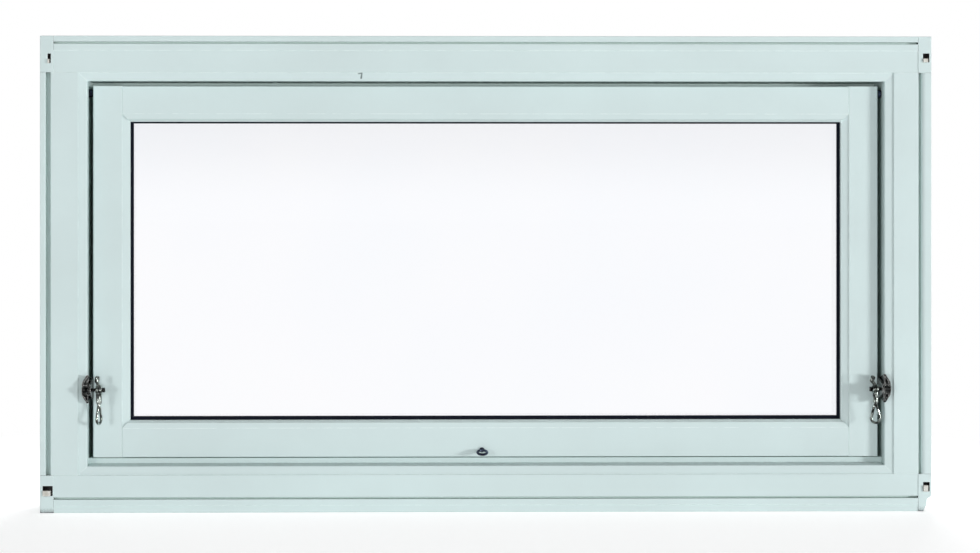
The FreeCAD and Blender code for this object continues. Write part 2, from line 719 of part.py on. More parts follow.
def make_snap_hook(catch):
    """A hook of two joined turns round the pin on a round shank, with its mouth at the front."""
    centre = snap_axis(catch)
    ring_radius = PIN_RADIUS + HOOK_CLEARANCE - HOOK_BORE_CUT + HOOK_WIRE / 2
    turns = [
        Part.makeTorus(ring_radius, HOOK_WIRE / 2, centre + Vector(shift, 0, 0), Vector(1, 0, 0))
        for shift in (-HOOK_SPREAD, HOOK_SPREAD)
    ]
    web = cylinder(centre - Vector(HOOK_WEB / 2, 0, 0), Vector(HOOK_WEB, 0, 0), 2 * ring_radius)
    shank_top = centre - Vector(0, 0, PIN_RADIUS + HOOK_CLEARANCE - HOOK_BORE_CUT)
    shank = cylinder(shank_top, Vector(0, 0, -SHANK_LENGTH - HOOK_BORE_CUT), SHANK_DIAMETER)
    shank = shank.makeFillet(SHANK_ROUND, [edge for edge in shank.Edges if len(edge.Vertexes) == 1])
    half_width = HOOK_SPREAD + HOOK_WIRE
    passage = cylinder(
        centre - Vector(half_width, 0, 0),
        Vector(2 * half_width, 0, 0),
        PIN_DIAMETER + 2 * HOOK_CLEARANCE,
    )
    mouth = Part.makeBox(
        2 * half_width,
        HOOK_MOUTH,
        3 * HOOK_WIRE,
        Vector(centre.x - half_width, centre.y - HOOK_MOUTH / 2, centre.z),
    )
    mouth.rotate(centre, Vector(1, 0, 0), 90 + HOOK_MOUTH_ANGLE)
    seat = cylinder(
        Vector(centre.x, centre.y - SHANK_DIAMETER, trigger_height(catch)),
        Vector(0, SHANK_DIAMETER / 2 + TRIGGER_SEAT, 0),
        TRIGGER_DIAMETER + 2 * TRIGGER_CLEARANCE,
    )
    body = shank.fuse([*turns, web, make_thumb_piece(catch)])
    return body.cut([passage, mouth, seat]).removeSplitter()


def make_snap_trigger(catch):
    """The thumb stub of the spring bolt, standing out of the shank."""
    centre = snap_axis(catch)
    height = trigger_height(catch)
    face = centre.y - SHANK_DIAMETER / 2
    stem_start = Vector(centre.x, face + TRIGGER_SEAT, height)
    stem = cylinder(stem_start, Vector(0, -TRIGGER_SEAT - TRIGGER_STAND, 0), TRIGGER_DIAMETER)
    knob_start = Vector(centre.x, face - TRIGGER_STAND, height)
    knob = cylinder(knob_start, Vector(0, -TRIGGER_KNOB_LENGTH, 0), TRIGGER_KNOB)
    return stem.fuse(knob).removeSplitter()


def make_snap_eye(catch):
    """A pear shaped wire eye under a swivel stud."""
    centre = snap_axis(catch)
    stud_top = centre.z - PIN_RADIUS - HOOK_CLEARANCE - SHANK_LENGTH
    stud = cylinder(Vector(centre.x, centre.y, stud_top), Vector(0, 0, -SWIVEL_LENGTH), SWIVEL_DIAMETER)
    top = stud_top - SWIVEL_LENGTH
    bottom = top - EYE_LENGTH + EYE_WIRE
    half_top = (EYE_TOP_WIDTH - EYE_WIRE) / 2
    half_bottom = (EYE_WIDTH - EYE_WIRE) / 2
    top_point = Vector(centre.x, centre.y, top - half_top)
    bottom_point = Vector(centre.x, centre.y, bottom + half_bottom)
    slope = math.asin((half_bottom - half_top) / (top_point.z - bottom_point.z))

    def on_round(middle, radius, angle):
        return middle + Vector(radius * math.cos(angle), 0, radius * math.sin(angle))

    upper_right = on_round(top_point, half_top, slope)
    upper_left = on_round(top_point, half_top, math.pi - slope)
    lower_right = on_round(bottom_point, half_bottom, slope)
    lower_left = on_round(bottom_point, half_bottom, math.pi - slope)
    path = Part.Wire(
        [
            Part.LineSegment(lower_right, upper_right).toShape(),
            Part.Arc(upper_right, on_round(top_point, half_top, math.pi / 2), upper_left).toShape(),
            Part.LineSegment(upper_left, lower_left).toShape(),
            Part.Arc(lower_left, on_round(bottom_point, half_bottom, -math.pi / 2), lower_right).toShape(),
        ]
    )
    start_direction = upper_right - lower_right
    section = Part.Wire([Part.makeCircle(EYE_WIRE / 2, lower_right, start_direction)])
    loop = path.makePipeShell([section], True, False)
    eye = loop.fuse(stud).removeSplitter()
    eye.rotate(centre, Vector(0, 0, 1), catch.eye_turn)
    return eye


def make_screw_eye():
    """A screw eye on the bottom rail: rose, neck and a drooping ring."""
    face = FRONT + SASH_SETBACK
    root = Vector(SCREW_EYE_SIDE_SHIFT, face, SASH.bottom + SCREW_EYE_HEIGHT_ON_RAIL)
    rose = cylinder(root, Vector(0, -SCREW_EYE_ROSE_THICKNESS, 0), SCREW_EYE_ROSE)
    neck_length = SCREW_EYE_ROSE_THICKNESS + SCREW_EYE_NECK + SCREW_EYE_WIRE / 2
    neck = cylinder(root, Vector(0, -neck_length, 0), SCREW_EYE_WIRE)
    ring_radius = (SCREW_EYE_OUTER - SCREW_EYE_WIRE) / 2
    hinge = root - Vector(0, neck_length, 0)
    centre = hinge - Vector(0, ring_radius, 0)
    ring = Part.makeTorus(ring_radius, SCREW_EYE_WIRE / 2, centre, Vector(0, 0, 1))
    ring.rotate(hinge, Vector(1, 0, 0), SCREW_EYE_DROOP)
    return rose.fuse([neck, ring]).removeSplitter()


def build():
    """All pieces of the window by node name."""
    pieces = {}
    jambs = {side: make_jamb(side) for side in ("left", "right")}
    stiles = {side: make_stile(side) for side in ("left", "right")}
    pieces["frame_head"] = make_head(list(jambs.values()))
    pieces["frame_sill"] = make_sill(list(jambs.values()))
    pieces["sash_top_rail"] = make_rail("top", list(stiles.values()))
    pieces["sash_bottom_rail"] = make_rail("bottom", list(stiles.values()))
    for side in ("left", "right"):
        pieces["frame_jamb_" + side] = jambs[side]
        pieces["sash_stile_" + side] = stiles[side]
    for side in SIDES:
        pieces["inner_bead_" + side] = make_bead(side)
        pieces["weather_seal_" + side] = make_seal(side)
        pieces["glazing_bead_" + side] = make_glazing_bead(side)
    clips = []
    for slot in CORNER_SLOTS:
        pieces["corner_block_" + slot.level + "_" + slot.side] = make_corner_block(slot)
        clips.append(make_corner_clip(slot))
    pieces["corner_clips"] = Part.makeCompound(clips)
    cover = SIGHT.inset(-GASKET_COVER)
    front_gasket = [band_between(side, cover, LIPS, GASKET_FRONT, INNER_PANE_FRONT) for side in SIDES]
    rear_sight = SIGHT.inset(-REAR_SIGHT_GAP)
    rear_depth = (REAR_GASKET_FRONT, GLAZING_LEG_FRONT)
    rear_gasket = [band_between(side, cover, rear_sight, *rear_depth) for side in SIDES]
    spacer_inner = SIGHT.inset(-SPACER_SIGHT_GAP)
    spacer_outer = spacer_inner.inset(-SPACER_WIDTH)
    spacer_depth = (SPACER_FRONT, OUTER_PANE_FRONT)
    spacer = [band_between(side, spacer_outer, spacer_inner, *spacer_depth) for side in SIDES]
    pieces["glazing_gasket_room"] = Part.makeCompound(front_gasket)
    pieces["glazing_gasket_weather"] = Part.makeCompound(rear_gasket)
    pieces["glass_spacer"] = Part.makeCompound(spacer)
    pieces["glass_pane_room"] = plate(PANE, INNER_PANE_FRONT, SPACER_FRONT)
    pieces["glass_pane_weather"] = plate(PANE, OUTER_PANE_FRONT, REAR_GASKET_FRONT)
    for catch in CATCHES:
        pieces["pivot_" + catch.name] = make_pivot(catch.sign)
        pieces["keeper_" + catch.name] = make_keeper(catch.sign)
        pieces["catch_bracket_" + catch.name] = make_bracket(catch.sign)
        pieces["catch_pin_" + catch.name] = make_pin(catch)
        pieces["snap_hook_" + catch.name] = make_snap_hook(catch)
        pieces["snap_trigger_" + catch.name] = make_snap_trigger(catch)
        pieces["snap_eye_" + catch.name] = make_snap_eye(catch)
    pieces["screw_eye"] = make_screw_eye()
    return pieces


def main():
    """Write each piece to its own file."""
    os.makedirs("parts", exist_ok=True)
    for name, shape in build().items():
        shape.exportStep("parts/" + name + ".step")


main()
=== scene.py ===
"""Looks of a top hung window with a painted timber frame and a snap hook catch at each side.

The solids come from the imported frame. This script gives each of them a finish, adds the small
fasteners and sets up the studio. Lengths are in metres. X runs to the right along the sill,
Y from the room side to the weather side and Z up, from the middle of the sill's underside.
"""

import logging
import math
from dataclasses import dataclass
from enum import Enum
from typing import Any, Iterable, Sequence

import bpy
from mathutils import Euler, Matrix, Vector

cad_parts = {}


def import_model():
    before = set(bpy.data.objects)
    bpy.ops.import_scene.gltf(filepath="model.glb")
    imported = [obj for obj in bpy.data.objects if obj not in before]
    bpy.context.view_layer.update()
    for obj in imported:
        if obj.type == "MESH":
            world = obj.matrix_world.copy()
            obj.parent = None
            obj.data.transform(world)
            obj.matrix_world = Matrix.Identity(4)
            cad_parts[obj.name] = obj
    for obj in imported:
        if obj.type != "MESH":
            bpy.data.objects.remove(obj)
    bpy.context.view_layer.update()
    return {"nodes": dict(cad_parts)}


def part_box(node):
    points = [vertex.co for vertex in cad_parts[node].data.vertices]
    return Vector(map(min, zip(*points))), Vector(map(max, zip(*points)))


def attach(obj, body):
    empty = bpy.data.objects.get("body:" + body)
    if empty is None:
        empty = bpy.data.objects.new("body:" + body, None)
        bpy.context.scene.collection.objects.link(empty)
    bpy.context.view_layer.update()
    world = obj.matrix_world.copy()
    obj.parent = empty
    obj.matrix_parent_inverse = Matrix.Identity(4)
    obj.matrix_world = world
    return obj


LOG = logging.getLogger("window")

Colour = tuple[float, float, float]


class Run(Enum):
    """The way that the timber's grain and the brush marks run in a member."""

    ALONG_X = (3.0, 60.0, 60.0)
    ALONG_Z = (60.0, 60.0, 3.0)


class Side(Enum):
    """The sides of the window that have a catch."""

    LEFT = "left"
    RIGHT = "right"

    @property
    def outward(self) -> float:
        """The way along X that leads out of the sash, -1 or 1."""
        return -1.0 if self is Side.LEFT else 1.0


def channel(value: int) -> float:
    """One channel of a colour, from 0 to 255 as it shows on screen, in linear light."""
    share = value / 255
    return share / 12.92 if share <= 0.04045 else ((share + 0.055) / 1.055) ** 2.4


def linear(red: int, green: int, blue: int) -> Colour:
    """A colour, given as it shows on screen, in linear light."""
    return channel(red), channel(green), channel(blue)


class Wiring:
    """A node tree with short calls to add, set and join its nodes."""

    def __init__(self, tree: bpy.types.NodeTree) -> None:
        """Wrap a tree.

        Args:
            tree: The shader or geometry node tree to fill.
        """
        self.tree = tree

    def add(self, kind: str, *, settings: dict[str, Any] | None = None, **sockets: Any) -> bpy.types.Node:
        """Add a node.

        Args:
            kind: The node's type name.
            settings: Properties of the node.
            sockets: Values or output sockets for its inputs, with _ for a space in the name.

        Returns:
            The new node.
        """
        node = self.tree.nodes.new(kind)
        for name, value in (settings or {}).items():
            setattr(node, name, value)
        for name, value in sockets.items():
            self.feed(node.inputs[name.replace("_", " ")], value)
        return node

    def feed(self, target: bpy.types.NodeSocket, value: Any) -> None:
        """Set an input socket to a value, or join it to an output socket.

        Args:
            target: The input socket.
            value: The value or the output socket.
        """
        if isinstance(value, bpy.types.NodeSocket):
            self.tree.links.new(value, target)
        else:
            target.default_value = value

    def maths(self, operation: str, *values: Any, clamp: bool = False) -> bpy.types.NodeSocket:
        """Add a Math node.

        Args:
            operation: The node's operation.
            values: Numbers or output sockets for its inputs, in order.
            clamp: Keep the result from 0 to 1.

        Returns:
            The result's socket.
        """
        node = self.add("ShaderNodeMath", settings={"operation": operation, "use_clamp": clamp})
        for target, value in zip(node.inputs, values):
            self.feed(target, value)
        return node.outputs[0]

    def vector(self, operation: str, *values: Any, out: str = "Vector") -> bpy.types.NodeSocket:
        """Add a Vector Math node.

        Args:
            operation: The node's operation.
            values: Vectors or output sockets for its inputs, in order.
            out: The output to hand back.

        Returns:
            The result's socket.
        """
        node = self.add("ShaderNodeVectorMath", settings={"operation": operation})
        for target, value in zip(node.inputs, values):
            self.feed(target, value)
        return node.outputs[out]

    def ramp(
        self, value: Any, low: float, high: float, to_low: float = 0.0, to_high: float = 1.0
    ) -> bpy.types.NodeSocket:
        """Map a value smoothly from one range to another and keep it there.

        Args:
            value: The number or socket to map.
            low: Start of the range it comes from.
            high: End of the range it comes from.
            to_low: Start of the range it goes to.
            to_high: End of the range it goes to.

        Returns:
            The result's socket.
        """
        node = self.add("ShaderNodeMapRange", settings={"interpolation_type": "SMOOTHSTEP"})
        for name, number in (
            ("From Min", low),
            ("From Max", high),
            ("To Min", to_low),
            ("To Max", to_high),
        ):
            node.inputs[name].default_value = number
        self.feed(node.inputs["Value"], value)
        return node.outputs["Result"]

    def tint(self, factor: Any, first: Any, second: Any) -> bpy.types.NodeSocket:
        """Mix two colours.

        Args:
            factor: Share of the second colour.
            first: Colour or socket at a factor of 0.
            second: Colour or socket at a factor of 1.

        Returns:
            The mixed colour's socket.
        """
        node = self.add("ShaderNodeMix", settings={"data_type": "RGBA"})
        self.feed(node.inputs["Factor"], factor)
        for target, colour in ((node.inputs[6], first), (node.inputs[7], second)):
            self.feed(target, (*colour, 1.0) if isinstance(colour, tuple) else colour)
        return node.outputs[2]


class Effects:
    """Surface effects that several finishes share, each built once as a shader node group."""

    def __init__(self) -> None:
        """Build all groups."""
        self.mottle = self._mottle()
        self.grain = self._grain()
        self.edge_wear_and_highlight = self._edge_wear_and_highlight()
        self.dust = self._dust()
        self.occlusion_shade = self._occlusion_shade()
        self.stroke = self._stroke()

    @staticmethod
    def _start(
        name: str, inputs: Sequence[tuple[str, str, Any]], outputs: Sequence[str]
    ) -> tuple[bpy.types.NodeTree, Wiring, bpy.types.NodeOutputs, bpy.types.NodeInputs]:
        """Make an empty group with named sockets.

        Args:
            name: The group's name.
            inputs: Name, socket type and default of each input.
            outputs: Names of the number outputs.

        Returns:
            The tree, its wiring, the sockets that come in and those that go out.
        """
        tree = bpy.data.node_groups.new(name, "ShaderNodeTree")
        for label, kind, default in inputs:
            socket = tree.interface.new_socket(name=label, in_out="INPUT", socket_type=kind)
            if default is not None:
                socket.default_value = default
        for label in outputs:
            tree.interface.new_socket(name=label, in_out="OUTPUT", socket_type="NodeSocketFloat")
        wiring = Wiring(tree)
        entry = wiring.add("NodeGroupInput")
        leaving = wiring.add("NodeGroupOutput")
        return tree, wiring, entry.outputs, leaving.inputs

    def _mottle(self) -> bpy.types.NodeTree:
        """Slow cloudy change from 0 to 1 over a surface.

        Returns:
            The group.
        """
        tree, wiring, given, out = self._start(
            "mottle",
            [
                ("Vector", "NodeSocketVector", None),
                ("Scale", "NodeSocketFloat", 20.0),
                ("Sharpness", "NodeSocketFloat", 0.3),
            ],
            ["Value"],
        )
        noise = wiring.add(
            "ShaderNodeTexNoise", Vector=given["Vector"], Scale=given["Scale"], Detail=4.0
        )
        # The two ends of the noise's range come nearer with the sharpness and would meet at 0.7.
        low = wiring.maths("MULTIPLY_ADD", given["Sharpness"], 0.5, 0.15)
        high = wiring.maths("SUBTRACT", 1.0, low)
        spread = wiring.add("ShaderNodeMapRange", Value=noise.outputs["Fac"])
        wiring.feed(spread.inputs["From Min"], low)
        wiring.feed(spread.inputs["From Max"], high)
        wiring.feed(out["Value"], spread.outputs["Result"])
        return tree

    def _grain(self) -> bpy.types.NodeTree:
        """Long fine streaks, as of brush marks over timber.

        Returns:
            The group.
        """
        tree, wiring, given, out = self._start(
            "grain",
            [
                ("Vector", "NodeSocketVector", None),
                ("Stretch", "NodeSocketVector", (3.0, 60.0, 60.0)),
                ("Fineness", "NodeSocketFloat", 6.0),
            ],
            ["Height"],
        )
        stretched = wiring.vector("MULTIPLY", given["Vector"], given["Stretch"])
        streaks = wiring.add(
            "ShaderNodeTexNoise", Vector=stretched, Scale=given["Fineness"], Detail=3.0
        )
        broad = wiring.add("ShaderNodeTexNoise", Vector=stretched, Scale=1.3, Detail=2.0)
        mixed = wiring.maths("MULTIPLY_ADD", broad.outputs["Fac"], 0.6, streaks.outputs["Fac"])
        wiring.feed(out["Height"], mixed)
        return tree

    def _edge_wear_and_highlight(self) -> bpy.types.NodeTree:
        """Where a surface turns at an edge, broken up so that it isn't even; the finishes lay worn edges
        and painted highlights on it.

        Returns:
            The group.
        """
        tree, wiring, given, out = self._start(
            "edge_wear_and_highlight",
            [
                ("Vector", "NodeSocketVector", None),
                ("Radius", "NodeSocketFloat", 0.0006),
                ("Patch Scale", "NodeSocketFloat", 300.0),
            ],
            ["Mask"],
        )
        bevel = wiring.add("ShaderNodeBevel", settings={"samples": 4}, Radius=given["Radius"])
        geometry = wiring.add("ShaderNodeNewGeometry")
        facing = wiring.vector(
            "DOT_PRODUCT", bevel.outputs["Normal"], geometry.outputs["Normal"], out="Value"
        )
        turned = wiring.ramp(facing, 0.99, 0.8)
        patches = wiring.add(
            "ShaderNodeTexNoise", Vector=given["Vector"], Scale=given["Patch Scale"], Detail=3.0
        )
        broken = wiring.ramp(patches.outputs["Fac"], 0.35, 0.6)
        wiring.feed(out["Mask"], wiring.maths("MULTIPLY", turned, broken))
        return tree

    def _dust(self) -> bpy.types.NodeTree:
        """Dust that lies on faces that look up.

        Returns:
            The group.
        """
        tree, wiring, given, out = self._start(
            "dust",
            [("Vector", "NodeSocketVector", None), ("Scale", "NodeSocketFloat", 90.0)],
            ["Mask"],
        )
        geometry = wiring.add("ShaderNodeNewGeometry")
        up = wiring.vector("DOT_PRODUCT", geometry.outputs["Normal"], (0.0, 0.0, 1.0), out="Value")
        lying = wiring.ramp(up, 0.45, 0.95)
        specks = wiring.add(
            "ShaderNodeTexNoise", Vector=given["Vector"], Scale=given["Scale"], Detail=6.0
        )
        patchy = wiring.ramp(specks.outputs["Fac"], 0.35, 0.7)
        wiring.feed(out["Mask"], wiring.maths("MULTIPLY", lying, patchy))
        return tree

    def _occlusion_shade(self) -> bpy.types.NodeTree:
        """Painted shade where little of the open air reaches a surface.

        Returns:
            The group.
        """
        tree, wiring, given, out = self._start(
            "occlusion_shade",
            [
                ("Vector", "NodeSocketVector", None),
                ("Reach", "NodeSocketFloat", 0.003),
                ("Open", "NodeSocketFloat", 0.9),
                ("Shut", "NodeSocketFloat", 0.5),
            ],
            ["Mask"],
        )
        air = wiring.add("ShaderNodeAmbientOcclusion", settings={"samples": 6}, Distance=given["Reach"])
        specks = wiring.add("ShaderNodeTexNoise", Vector=given["Vector"], Scale=700.0, Detail=2.0)
        uneven = wiring.maths("MULTIPLY_ADD", specks.outputs["Fac"], 0.3, -0.15)
        shade = wiring.add("ShaderNodeMapRange", Value=wiring.maths("ADD", air.outputs["AO"], uneven))
        wiring.feed(shade.inputs["From Min"], given["Open"])
        wiring.feed(shade.inputs["From Max"], given["Shut"])
        wiring.feed(out["Mask"], shade.outputs["Result"])
        return tree

    def _stroke(self) -> bpy.types.NodeTree:
        """A short scratch between two points.

        Returns:
            The group.
        """
        tree, wiring, given, out = self._start(
            "stroke",
            [
                ("Vector", "NodeSocketVector", None),
                ("Start", "NodeSocketVector", None),
                ("End", "NodeSocketVector", None),
                ("Width", "NodeSocketFloat", 0.001),
            ],
            ["Mask"],
        )
        line = wiring.vector("SUBTRACT", given["End"], given["Start"])
        reach = wiring.vector("SUBTRACT", given["Vector"], given["Start"])
        along = wiring.vector("DOT_PRODUCT", reach, line, out="Value")
        square = wiring.vector("DOT_PRODUCT", line, line, out="Value")
        share = wiring.maths("DIVIDE", along, square, clamp=True)
        foot = wiring.add("ShaderNodeVectorMath", settings={"operation": "SCALE"}, Scale=share)
        wiring.feed(foot.inputs[0], line)
        off = wiring.vector("SUBTRACT", reach, foot.outputs["Vector"])
        distance = wiring.vector("LENGTH", off, out="Value")
        ratio = wiring.maths("DIVIDE", distance, given["Width"])
        wiring.feed(out["Mask"], wiring.ramp(ratio, 0.6, 0.25))
        return tree


class Surface:
    """A new material with its Principled shader, ready for a finish to wire."""

    def __init__(self, name: str) -> None:
        """Make the material.

        Args:
            name: The material's name.
        """
        self.material = bpy.data.materials.new(name)
        self.material.use_nodes = True
        self.wiring = Wiring(self.material.node_tree)
        self.shader = self.material.node_tree.nodes["Principled BSDF"]
        self.place = self.wiring.add("ShaderNodeTexCoord").outputs["Object"]

    def effect(self, group: bpy.types.NodeTree, **sockets: Any) -> bpy.types.NodeSocket:
        """Place a shared effect on this surface.

        Args:
            group: The effect's node group.
            sockets: Its values.

        Returns:
            The effect's only output.
        """
        node = self.wiring.add("ShaderNodeGroup", settings={"node_tree": group})
        self.wiring.feed(node.inputs["Vector"], self.place)
        for name, value in sockets.items():
            self.wiring.feed(node.inputs[name.replace("_", " ")], value)
        return node.outputs[0]

    def feed(self, **sockets: Any) -> None:
        """Set or join inputs of the shader.

        Args:
            sockets: Values or output sockets for its inputs, with _ for a space in the name.
        """
        for name, value in sockets.items():
            value = (*value, 1.0) if isinstance(value, tuple) and len(value) == 3 else value
            self.wiring.feed(self.shader.inputs[name.replace("_", " ")], value)

    def bump(self, height: bpy.types.NodeSocket, depth: float, strength: float) -> None:
        """Raise the surface by a height.

        Args:
            height: Socket with the height, counted in depths.
            depth: What a height of 1 stands for, in metres.
            strength: Share of the bump that shows.
        """
        node = self.wiring.add("ShaderNodeBump", Height=height, Distance=depth, Strength=strength)
        self.wiring.feed(self.shader.inputs["Normal"], node.outputs["Normal"])


@dataclass(frozen=True)
class Scratch:
    """A knock in the paint, as strokes between points."""

    strokes: tuple[tuple[Vector, Vector], ...]
    width: float


@dataclass(frozen=True)
class PaintFinish:
    """Satin paint on timber: brush marks along the member, faint clouds, a painted highlight on the edges,
    dust, and painted shade in gaps, grooves and slots.
    """

    name: str
    run: Run
    colour: Colour = linear(208, 225, 225)
    cloud: Colour = linear(204, 220, 220)
    cloud_scale: float = 9.0
    # A near-white painted highlight laid on the edges.
    edge_highlight: Colour = linear(242, 252, 251)
    edge_highlight_radius: float = 0.0008
    edge_highlight_share: float = 0.85
    dust: Colour = linear(186, 197, 194)
    dust_share: float = 0.35
    # Painted shade: a darker colour laid where little open air reaches, in gaps, grooves and slots.
    recess_shade: Colour = linear(184, 206, 199)
    recess_shade_reach: float = 0.012
    recess_shade_starts: float = 0.32
    recess_shade_full: float = 0.1
    bruise: Colour = linear(104, 118, 118)
    bruise_depth: float = 3.0
    scratch: Scratch | None = None
    mark_fineness: float = 5.0
    mark_depth: float = 0.00012
    mark_strength: float = 0.35
    smooth: float = 0.36
    dull: float = 0.5
    ior: float = 1.46

    def make(self, effects: Effects) -> bpy.types.Material:
        """Build the material.

        Args:
            effects: The shared effects.

        Returns:
            The finished material.
        """
        surface = Surface(self.name)
        wiring = surface.wiring
        clouds = surface.effect(effects.mottle, Scale=self.cloud_scale, Sharpness=0.4)
        marks = surface.effect(effects.grain, Stretch=self.run.value, Fineness=self.mark_fineness)
        edges = surface.effect(effects.edge_wear_and_highlight, Radius=self.edge_highlight_radius, Patch_Scale=120.0)
        lying = surface.effect(effects.dust, Scale=160.0)
        recess_shade_mask = surface.effect(
            effects.occlusion_shade, Reach=self.recess_shade_reach, Open=self.recess_shade_starts, Shut=self.recess_shade_full
        )
        colour = wiring.tint(clouds, self.colour, self.cloud)
        # The edges get the painted highlight.
        colour = wiring.tint(wiring.maths("MULTIPLY", edges, self.edge_highlight_share), colour, self.edge_highlight)
        colour = wiring.tint(wiring.maths("MULTIPLY", lying, self.dust_share), colour, self.dust)
        # Painted shade in gaps and grooves, where little open air reaches.
        colour = wiring.tint(recess_shade_mask, colour, self.recess_shade)
        height = marks
        if self.scratch is not None:
            damage: bpy.types.NodeSocket | None = None
            for start, end in self.scratch.strokes:
                mask = surface.effect(
                    effects.stroke, Start=start, End=end, Width=self.scratch.width
                )
                damage = mask if damage is None else wiring.maths("MAXIMUM", damage, mask)
            colour = wiring.tint(damage, colour, self.bruise)
            sunk = wiring.maths("MULTIPLY", damage, self.bruise_depth)
            height = wiring.maths("SUBTRACT", marks, sunk)
        surface.feed(Base_Color=colour, IOR=self.ior)
        surface.feed(Roughness=wiring.ramp(marks, 0.4, 1.2, self.smooth, self.dull))
        surface.bump(height, self.mark_depth, self.mark_strength)
        return surface.material


@dataclass(frozen=True)
class RubberFinish:
    """Black rubber with a cloudy bloom, an uneven skin and a little dust."""

    name: str = "black_rubber"
    colour: Colour = linear(9, 13, 26)
    bloom: Colour = linear(20, 26, 40)
    bloom_share: float = 0.4
    dust: Colour = linear(120, 126, 124)
    dust_share: float = 0.12
    shine: float = 0.12
    smooth: float = 0.5
    dull: float = 0.7
    skin_depth: float = 0.00008
    skin_strength: float = 0.3

    def make(self, effects: Effects) -> bpy.types.Material:
        """Build the material.

        Args:
            effects: The shared effects.

        Returns:
            The finished material.
        """
        surface = Surface(self.name)
        wiring = surface.wiring
        clouds = surface.effect(effects.mottle, Scale=60.0, Sharpness=0.5)
        lying = surface.effect(effects.dust, Scale=300.0)
        colour = wiring.tint(wiring.maths("MULTIPLY", clouds, self.bloom_share), self.colour, self.bloom)
        colour = wiring.tint(wiring.maths("MULTIPLY", lying, self.dust_share), colour, self.dust)
        surface.feed(Base_Color=colour, Specular_IOR_Level=self.shine)
        surface.feed(Roughness=wiring.ramp(clouds, 0.0, 1.0, self.smooth, self.dull))
        surface.bump(clouds, self.skin_depth, self.skin_strength)
        return surface.material


@dataclass(frozen=True)
class GlassFinish:
    """Clear float glass with a breath of haze."""

    name: str = "clear_glass"
    clear: Colour = linear(254, 254, 255)
    haze: Colour = linear(252, 253, 255)
    haze_scale: float = 3.0
    haze_roughness: float = 0.012
    ior: float = 1.45

    def make(self, effects: Effects) -> bpy.types.Material:
        """Build the material.

        Args:
            effects: The shared effects.

        Returns:
            The finished material.
        """
        surface = Surface(self.name)
        wiring = surface.wiring
        clouds = surface.effect(effects.mottle, Scale=self.haze_scale, Sharpness=0.4)
        surface.feed(Base_Color=wiring.tint(clouds, self.clear, self.haze))
        surface.feed(Roughness=wiring.ramp(clouds, 0.5, 1.0, 0.0, self.haze_roughness))
        surface.feed(Transmission_Weight=1.0, Metallic=0.0, IOR=self.ior)
        return surface.material


@dataclass(frozen=True)
class SteelFinish:
    """Steel with a tarnished coat, with rubbed wear and a painted highlight at its edges and painted shade
    in its crevices, that is finely pitted.

    Spots is the scale of the tarnish, and pits says how many times finer the pits are.
    """

    name: str
    coat: Colour
    tarnish: Colour
    # Edge colour: rubbed wear on the steel and a painted highlight together.
    bright: Colour
    smooth: float
    dull: float
    spots: float = 120.0
    pits: float = 9.0
    pit_depth: float = 0.00006
    pit_strength: float = 0.25
    # Painted shade laid in crevices where little open air reaches.
    occlusion_shade: Colour = linear(14, 13, 13)
    occlusion_shade_reach: float = 0.003
    edge: float = 0.0005
    edge_polish: float = 0.12
    metallic: float = 1.0
    edge_metallic: float = 1.0

    def make(self, effects: Effects) -> bpy.types.Material:
        """Build the material.

        Args:
            effects: The shared effects.

        Returns:
            The finished material.
        """
        surface = Surface(self.name)
        wiring = surface.wiring
        clouds = surface.effect(effects.mottle, Scale=self.spots, Sharpness=0.5)
        pitted = surface.effect(effects.mottle, Scale=self.spots * self.pits, Sharpness=0.6)
        edges = surface.effect(effects.edge_wear_and_highlight, Radius=self.edge, Patch_Scale=500.0)
        crevices = surface.effect(effects.occlusion_shade, Reach=self.occlusion_shade_reach)
        colour = wiring.tint(clouds, self.coat, self.tarnish)
        # Crevices take the painted shade.
        colour = wiring.tint(crevices, colour, self.occlusion_shade)
        # Edges take the rubbed wear and the painted highlight.
        colour = wiring.tint(edges, colour, self.bright)
        surface.feed(Base_Color=colour, Metallic=self.metallic)
        # Edges that turn less metallic show their pale colour as a painted highlight.
        if self.edge_metallic < self.metallic:
            surface.feed(Metallic=wiring.ramp(edges, 0.0, 1.0, self.metallic, self.edge_metallic))
        rough = wiring.ramp(clouds, 0.0, 1.0, self.smooth, self.dull)
        surface.feed(Roughness=wiring.maths("MULTIPLY_ADD", edges, -self.edge_polish, rough))
        surface.bump(pitted, self.pit_depth, self.pit_strength)
        return surface.material


Finish = PaintFinish | RubberFinish | GlassFinish | SteelFinish

PAINT_SIDEWAYS = PaintFinish("white_paint_sideways", Run.ALONG_X)
PAINT_UPRIGHT = PaintFinish("white_paint_upright", Run.ALONG_Z)
# The corner blocks carry a near-black painted shade in their slots and corners.
PAINT_BLOCK = PaintFinish(
    "white_paint_block", Run.ALONG_Z, recess_shade=linear(34, 28, 30), recess_shade_starts=0.62, recess_shade_full=0.45
)
NICK = Scratch(
    strokes=(
        (Vector((-0.1282, -0.0405, 0.4374)), Vector((-0.1249, -0.0405, 0.4378))),
        (Vector((-0.1249, -0.0405, 0.4376)), Vector((-0.1256, -0.0396, 0.4330))),
    ),
    width=0.0022,
)
PAINT_NICKED = PaintFinish("white_paint_nicked", Run.ALONG_X, scratch=NICK)
RUBBER = RubberFinish()
GLASS = GlassFinish()
SPACER = SteelFinish(
    "dark_spacer",
    coat=linear(70, 74, 78),
    tarnish=linear(52, 56, 60),
    bright=linear(120, 124, 128),
    smooth=0.35,
    dull=0.5,
)
WORN_STEEL = SteelFinish(
    "worn_steel",
    coat=linear(202, 212, 206),
    tarnish=linear(40, 43, 41),
    bright=linear(244, 249, 246),
    smooth=0.14,
    dull=0.3,
    spots=260.0,
)
